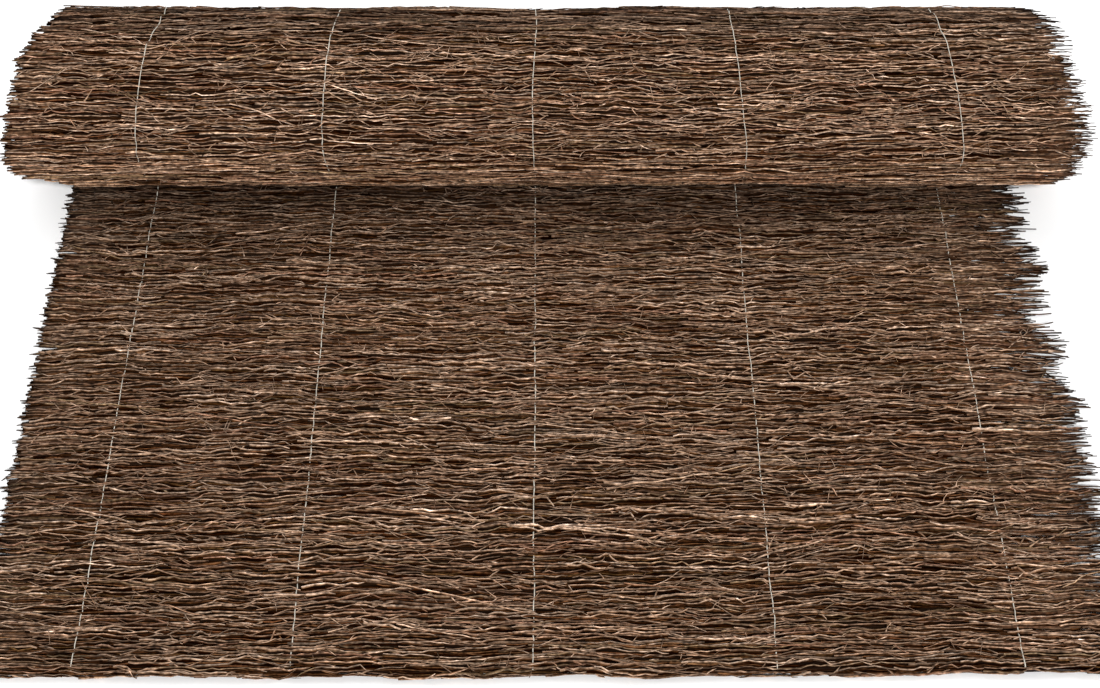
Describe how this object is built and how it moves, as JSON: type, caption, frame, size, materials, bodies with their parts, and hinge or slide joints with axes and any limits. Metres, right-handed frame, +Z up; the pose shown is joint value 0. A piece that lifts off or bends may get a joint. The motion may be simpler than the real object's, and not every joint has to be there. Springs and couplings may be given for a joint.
{
  "type": "heather screening roll",
  "caption": "Roll of garden screening: a mat of heather twigs bound by thin wires, mostly rolled up round an open core, with a stretch laid out flat in front.",
  "frame": {"origin": "on the ground, at the centre of the object's box: midway between the roll's ends and midway between the laid-out end and the back of the roll", "axes": "+X along the twigs and the roll's axis, from cut butts to fine tips; +Y from the laid-out end towards the roll; +Z up"},
  "size_m": [1.066, 0.7692, 0.1893],
  "materials": {
    "heather": "dry brown heather twigs with bark on, rough and unsealed",
    "wire": "dull galvanised"
  },
  "bodies": {
    "root": {"heather_mat": "heather", "binding_wire_1": "wire", "binding_wire_2": "wire", "binding_wire_3": "wire", "binding_wire_4": "wire", "binding_wire_5": "wire"}
  },
  "joints": []
}
